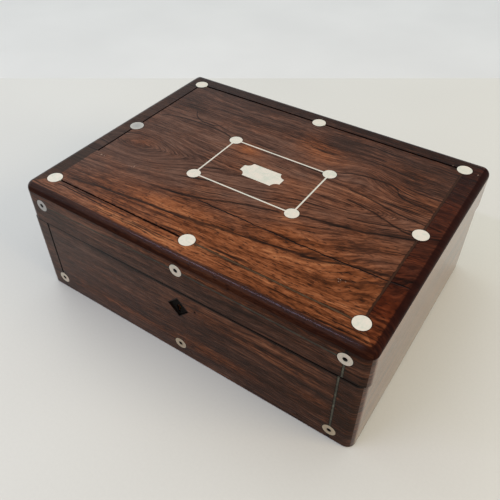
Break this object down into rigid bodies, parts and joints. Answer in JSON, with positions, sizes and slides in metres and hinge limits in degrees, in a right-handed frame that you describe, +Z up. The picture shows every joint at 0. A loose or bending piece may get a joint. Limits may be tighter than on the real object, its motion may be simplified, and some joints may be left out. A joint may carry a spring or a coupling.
{
  "type": "writing slope",
  "caption": "Rectangular veneered writing box with a hinged lid, pearl and line inlay, a propped writing board, pen tray, inkwells and a box lock.",
  "frame": {"origin": "centre of the box's plan, on the surface that it stands on", "axes": "+X along the box's length, to the right as seen from the keyhole side; +Y from the keyhole side to the hinge side; +Z up"},
  "size_m": [0.3012, 0.225, 0.11],
  "materials": {
    "rosewood": "french polished veneer",
    "edge_rosewood": "french polished solid edge",
    "inner_rosewood": "satin polish",
    "carcass_wood": "bare mahogany",
    "pearl": "polished mother of pearl",
    "pearl_yellowed": "yellowed mother of pearl",
    "pewter": "tarnished line inlay",
    "brass": "aged brass",
    "steel": "plain steel",
    "bottle_glass": "moulded clear glass",
    "baize": "wool baize",
    "writing_leather": "skiver leather",
    "lining_paper": "coloured lining paper"
  },
  "bodies": {
    "base": {"base_front_board": "carcass_wood", "base_back_board": "carcass_wood", "base_left_board": "carcass_wood", "base_right_board": "carcass_wood", "base_bottom_board": "carcass_wood", "base_baize": "baize", "base_front_veneer": "rosewood", "base_back_veneer": "rosewood", "base_left_veneer": "rosewood", "base_right_veneer": "rosewood", "base_front_lines": "pewter", "base_front_rings": "pearl_yellowed", "lock_case": "brass", "lock_plate": "brass", "base_screws": "brass", "base_hinge_leaves": "brass", "lid_hinge_pins": "steel", "front_rail": "inner_rosewood", "board_ledges": "carcass_wood", "long_partition": "inner_rosewood", "short_partitions": "inner_rosewood", "pen_tray": "inner_rosewood", "inkwell_bottles": "bottle_glass", "inkwell_collars": "brass", "board_hinge_fixed": "brass", "ratchet_strip": "carcass_wood"},
    "lid": {"lid_front_board": "carcass_wood", "lid_back_board": "carcass_wood", "lid_left_board": "carcass_wood", "lid_right_board": "carcass_wood", "lid_top_board": "carcass_wood", "lid_front_veneer": "rosewood", "lid_back_veneer": "rosewood", "lid_left_veneer": "rosewood", "lid_right_veneer": "rosewood", "lid_edge_front": "edge_rosewood", "lid_edge_back": "edge_rosewood", "lid_edge_left": "edge_rosewood", "lid_edge_right": "edge_rosewood", "lid_field_veneer": "rosewood", "lid_border_lines": "pewter", "lid_inner_lines": "pearl", "lid_discs": "pearl", "lid_name_plate": "pearl", "lid_front_lines": "pewter", "lid_front_rings": "pearl", "lid_lining": "lining_paper", "lid_screws": "brass", "lid_hinge_leaves": "brass", "link_plate": "brass"},
    "board": {"writing_board": "inner_rosewood", "board_leather": "writing_leather", "board_hinge_moving": "brass", "prop_bracket": "brass"},
    "prop": {"prop_frame": "carcass_wood"},
    "bolt": {"lock_bolt": "steel"},
    "cap_left": {"inkwell_cap_left": "brass"},
    "cap_right": {"inkwell_cap_right": "brass"}
  },
  "joints": [
    {"name": "lid_hinge", "type": "hinge", "parent": "base", "child": "lid", "pos_m": [0, 0.1105, 0.075], "axis": [-1, 0, 0], "range_deg": [0, 98]},
    {"name": "board_hinge", "type": "hinge", "parent": "base", "child": "board", "pos_m": [0, -0.0906, 0.073], "axis": [1, 0, 0], "range_deg": [0, 17]},
    {"name": "prop_hinge", "type": "hinge", "parent": "board", "child": "prop", "pos_m": [0, 0.0394, 0.0615], "axis": [1, 0, 0], "range_deg": [0, 33]},
    {"name": "lock_bolt_slide", "type": "slide", "parent": "base", "child": "bolt", "axis": [1, 0, 0], "range_m": [0, 0.0045]},
    {"name": "cap_left_hinge", "type": "hinge", "parent": "base", "child": "cap_left", "pos_m": [0, 0.0967, 0.057], "axis": [-1, 0, 0], "range_deg": [0, 94]},
    {"name": "cap_right_hinge", "type": "hinge", "parent": "base", "child": "cap_right", "pos_m": [0, 0.0967, 0.057], "axis": [-1, 0, 0], "range_deg": [0, 94]}
  ],
  "couplings": [
    {"joint": "board_hinge", "follows": "lid_hinge", "ratio": 0.17347},
    {"joint": "prop_hinge", "follows": "lid_hinge", "ratio": 0.33674}
  ]
}
